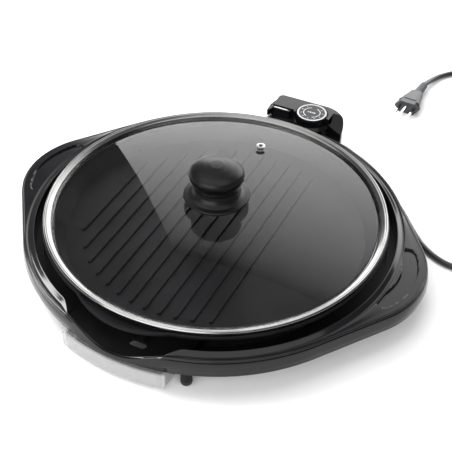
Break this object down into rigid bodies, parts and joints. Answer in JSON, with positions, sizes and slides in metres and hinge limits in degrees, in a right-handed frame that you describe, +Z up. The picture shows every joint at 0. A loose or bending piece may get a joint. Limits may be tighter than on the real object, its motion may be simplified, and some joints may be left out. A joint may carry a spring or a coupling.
{
  "type": "electric griddle",
  "caption": "Round non-stick electric griddle with a domed glass lid, black two-handled base, front drip tray and a plug-in temperature control with cord.",
  "frame": {"origin": "centre of the footprint of the griddle without its cord, at the level of the feet's soles", "axes": "+X to the right handle, +Y to the temperature control at the rear, +Z up; the front is -Y"},
  "size_m": [0.5334, 0.7097, 0.1165],
  "materials": {
    "base_shell": "satin black, glass-filled",
    "base_floor": "matt black",
    "base_flange": "matt black",
    "tray_bay": "matt black",
    "plate_posts": "matt black",
    "legs": "matt black",
    "heat_reflector": "thin sheet, mill finish",
    "foot_pads": "matt",
    "base_screws": "zinc plated",
    "plate": "die cast, dark non-stick coating",
    "heating_element": "dull steel sheath",
    "terminal_pins": "nickel plated",
    "pin_insulators": "white ceramic",
    "inlet_guard": "folded sheet",
    "guard_screws": "zinc plated",
    "lid_glass": "clear tempered glass",
    "lid_rim": "polished rolled steel",
    "knob_flange": "satin black",
    "knob_cap": "satin black",
    "knob_screw": "plain steel",
    "knob_gasket": "silicone washer",
    "steam_vent": "polished eyelet",
    "control_upper_shell": "black, glossy",
    "control_lower_shell": "satin black",
    "control_screws": "zinc plated",
    "terminal_sockets": "turned brass",
    "thermostat_probe": "stainless tube",
    "thermostat_frame": "folded sheet",
    "contact_blades": "spring bronze",
    "contact_stack": "ceramic",
    "pilot_lens": "clear light bar",
    "pilot_lamp": "small neon lamp",
    "internal_leads": "silicone insulation",
    "strain_relief": "black, ribbed",
    "cord_lead": "black cord sheath",
    "cord_coil": "black cord sheath",
    "cord_tie": "soft black band",
    "cord_tail": "black cord sheath",
    "plug_body": "moulded dark grey",
    "plug_relief": "moulded ribs",
    "plug_pins": "nickel plated",
    "plug_pin_sleeves": "black sleeve",
    "temperature_dial": "satin black",
    "dial_ring": "bright ring",
    "dial_shaft": "turned steel",
    "drip_tray": "clear, slightly smoky"
  },
  "bodies": {
    "base": {"base_shell": "base_shell", "base_floor": "base_floor", "base_flange": "base_flange", "tray_bay": "tray_bay", "plate_posts": "plate_posts", "legs": "legs", "heat_reflector": "heat_reflector", "foot_pads": "foot_pads", "base_screws": "base_screws"},
    "plate": {"plate": "plate", "heating_element": "heating_element", "terminal_pins": "terminal_pins", "pin_insulators": "pin_insulators", "inlet_guard": "inlet_guard", "guard_screws": "guard_screws"},
    "lid": {"lid_glass": "lid_glass", "lid_rim": "lid_rim", "knob_flange": "knob_flange", "knob_cap": "knob_cap", "knob_screw": "knob_screw", "knob_gasket": "knob_gasket", "steam_vent": "steam_vent"},
    "control": {"control_upper_shell": "control_upper_shell", "control_lower_shell": "control_lower_shell", "control_screws": "control_screws", "terminal_sockets": "terminal_sockets", "thermostat_probe": "thermostat_probe", "thermostat_frame": "thermostat_frame", "contact_blades": "contact_blades", "contact_stack": "contact_stack", "pilot_lens": "pilot_lens", "pilot_lamp": "pilot_lamp", "internal_leads": "internal_leads", "strain_relief": "strain_relief", "cord_lead": "cord_lead", "cord_coil": "cord_coil", "cord_tie": "cord_tie", "cord_tail": "cord_tail", "plug_body": "plug_body", "plug_relief": "plug_relief", "plug_pins": "plug_pins", "plug_pin_sleeves": "plug_pin_sleeves"},
    "dial": {"temperature_dial": "temperature_dial", "dial_ring": "dial_ring", "dial_shaft": "dial_shaft"},
    "tray": {"drip_tray": "drip_tray"}
  },
  "joints": [
    {"name": "plate_lift", "type": "slide", "parent": "base", "child": "plate", "axis": [0, 0, 1], "range_m": [0, 0.06]},
    {"name": "lid_lift", "type": "slide", "parent": "plate", "child": "lid", "axis": [0, 0, 1], "range_m": [0, 0.12]},
    {"name": "control_pull", "type": "slide", "parent": "plate", "child": "control", "axis": [0, 1, 0], "range_m": [0, 0.085]},
    {"name": "dial_turn", "type": "hinge", "parent": "control", "child": "dial", "pos_m": [0.0228, 0.1955, 0], "axis": [0, 0, 1], "range_deg": [0, 270]},
    {"name": "tray_slide", "type": "slide", "parent": "base", "child": "tray", "axis": [-0.0523, -0.9986, 0], "range_m": [0, 0.12]}
  ]
}
